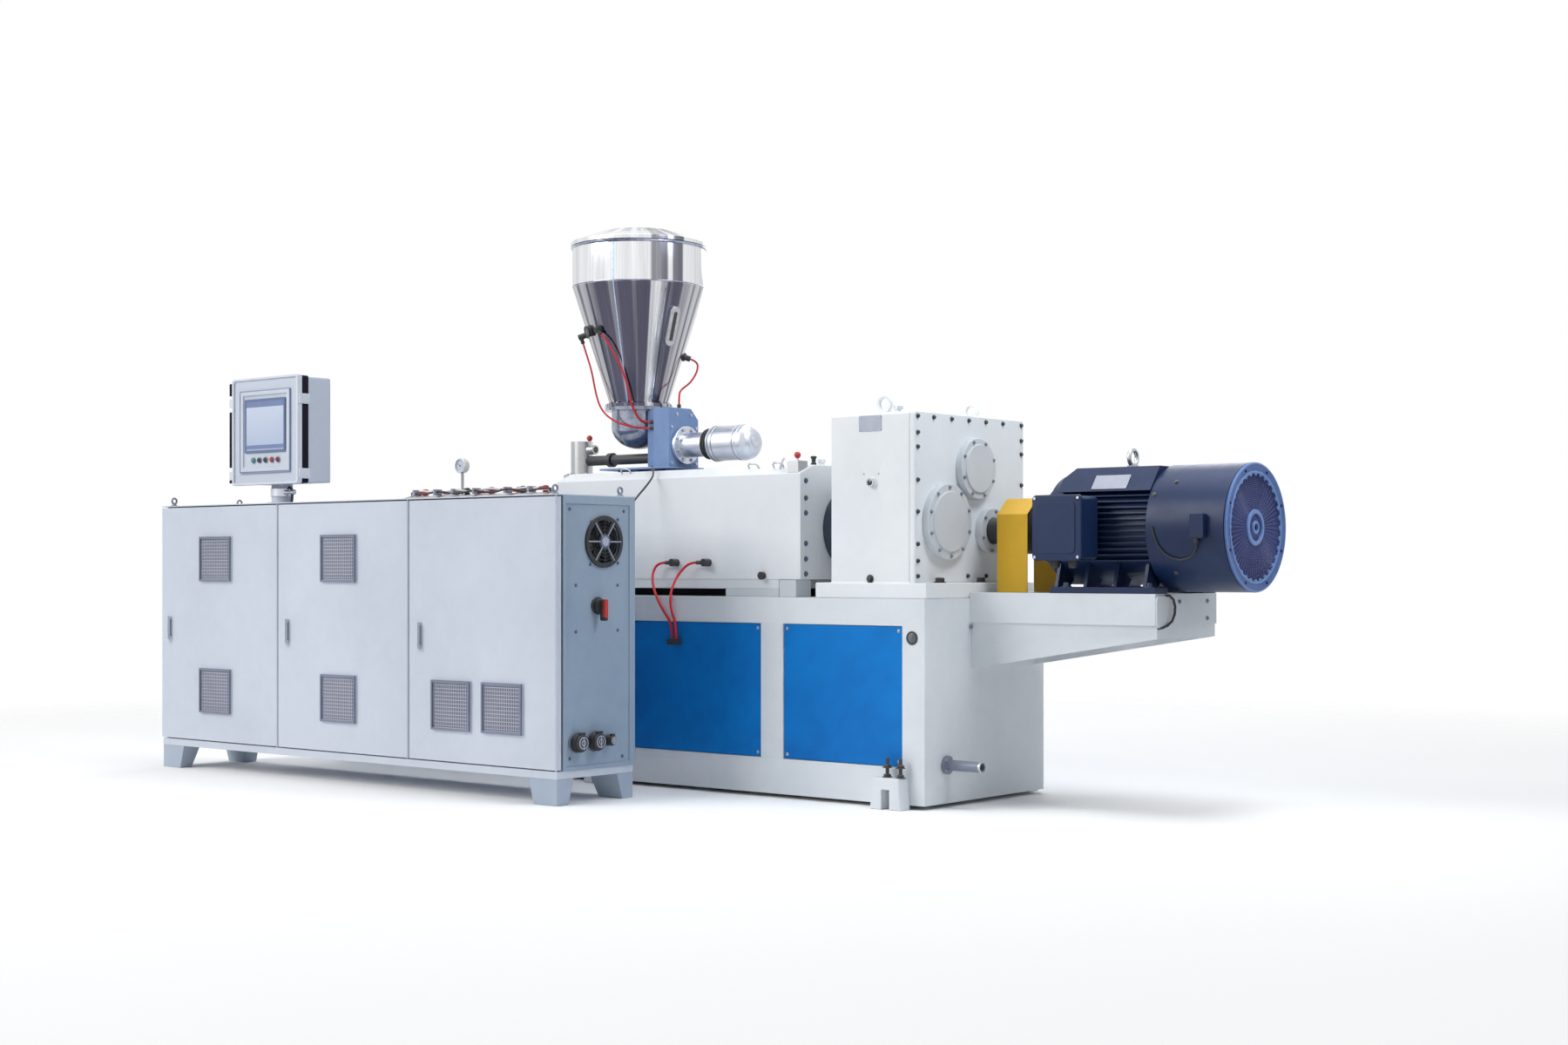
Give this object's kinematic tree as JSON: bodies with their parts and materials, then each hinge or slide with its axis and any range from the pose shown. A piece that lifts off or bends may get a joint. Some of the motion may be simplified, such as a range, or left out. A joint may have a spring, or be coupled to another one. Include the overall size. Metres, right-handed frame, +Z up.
{
  "type": "conical twin-screw plastic extruder",
  "caption": "Plastic extruder: motor, gearbox, screw barrel and steel hopper on a heavy base, with a low control cabinet and operator box beside it.",
  "frame": {"origin": "on the floor, under the middle of the whole machine and its cabinet", "axes": "+X along the machine from the die end to the main motor, +Y away from the control cabinet, +Z up"},
  "size_m": [4.519, 1.578, 2.246],
  "materials": {
    "base_cream": "semi-gloss paint",
    "panel_blue": "semi-gloss paint",
    "machine_white": "gloss paint",
    "cabinet_grey": "fine textured powder coat",
    "motor_navy": "semi-gloss paint",
    "ring_blue": "semi-gloss paint",
    "guard_yellow": "gloss paint",
    "gear_blue": "semi-gloss paint",
    "flange_blue": "satin paint",
    "hopper_steel": "polished stainless steel",
    "plain_steel": "turned steel",
    "motor_silver": "bright casting",
    "black_steel": "satin black",
    "black_plastic": "moulded plastic",
    "red_plastic": "moulded plastic",
    "sight_green": "tinted sight glass",
    "screen_dark": "display glass"
  },
  "bodies": {
    "machine": {"base_frame": "base_cream", "base_panels": "panel_blue", "base_feet": "base_cream", "pipe_stub": "plain_steel", "motor_bracket": "base_cream", "gearbox_housing": "machine_white", "gearbox_end_cover": "machine_white", "bearing_caps": "machine_white", "drive_coupling": "black_steel", "coupling_guard": "guard_yellow", "gearbox_lifting_eyes": "machine_white", "motor_frame": "motor_navy", "motor_terminal_box": "motor_navy", "motor_fan_cowl": "motor_navy", "motor_cowl_grille": "ring_blue", "motor_lifting_eye": "plain_steel", "drive_housing": "machine_white", "output_flange": "flange_blue", "machine_supports": "base_cream", "feed_block": "machine_white", "barrel": "plain_steel", "barrel_cover": "machine_white", "melt_gauge": "plain_steel", "drop_tube": "plain_steel", "drop_sight_glass": "sight_green", "feeder_tube": "black_steel", "feeder_bowl": "hopper_steel", "feeder_gear_housing": "gear_blue", "feeder_motor": "motor_silver", "feeder_plate": "panel_blue", "hopper_shell": "hopper_steel", "hopper_lid": "hopper_steel", "hopper_window": "motor_silver", "level_sensors": "black_plastic", "hose_fittings": "black_steel", "valve_block": "black_steel", "cable_glands": "black_plastic", "cabinet_shell": "cabinet_grey", "cabinet_end_panel": "cabinet_grey", "cabinet_feet": "cabinet_grey", "fan_guard": "black_plastic", "isolator_base": "black_plastic", "power_sockets": "black_plastic", "hmi_post": "cabinet_grey", "cooling_hose_left": "red_plastic", "cooling_hose_right": "red_plastic", "sensor_cable_left": "red_plastic", "sensor_cable_middle": "red_plastic", "sensor_cable_right": "red_plastic", "feeder_cable": "black_plastic"},
    "door_left": {"door_1": "cabinet_grey"},
    "door_middle": {"door_2": "cabinet_grey"},
    "door_right": {"door_3": "cabinet_grey"},
    "operator_box": {"hmi_box": "cabinet_grey", "hmi_screen": "screen_dark"},
    "fan": {"fan_rotor": "black_plastic"},
    "isolator_lever": {"isolator_handle": "red_plastic"}
  },
  "joints": [
    {"name": "door_left_hinge", "type": "hinge", "parent": "machine", "child": "door_left", "pos_m": [-1.4675, -0.761, 0.6], "axis": [0, 0, 1], "range_deg": [0, 110]},
    {"name": "door_middle_hinge", "type": "hinge", "parent": "machine", "child": "door_middle", "pos_m": [-0.6635, -0.761, 0.6], "axis": [0, 0, 1], "range_deg": [0, 110]},
    {"name": "door_right_hinge", "type": "hinge", "parent": "machine", "child": "door_right", "pos_m": [0.1405, -0.761, 0.6], "axis": [0, 0, 1], "range_deg": [0, 110]},
    {"name": "operator_box_swivel", "type": "hinge", "parent": "machine", "child": "operator_box", "pos_m": [-1.6905, -0.5675, 1.205], "axis": [0, 0, 1], "range_deg": [-90, 90]},
    {"name": "fan_spin", "type": "hinge", "parent": "machine", "child": "fan", "pos_m": [0.1325, -0.5295, 0.947], "axis": [1, 0, 0], "continuous": true},
    {"name": "isolator_turn", "type": "hinge", "parent": "machine", "child": "isolator_lever", "pos_m": [0.1525, -0.5615, 0.714], "axis": [1, 0, 0], "range_deg": [0, 90]}
  ]
}
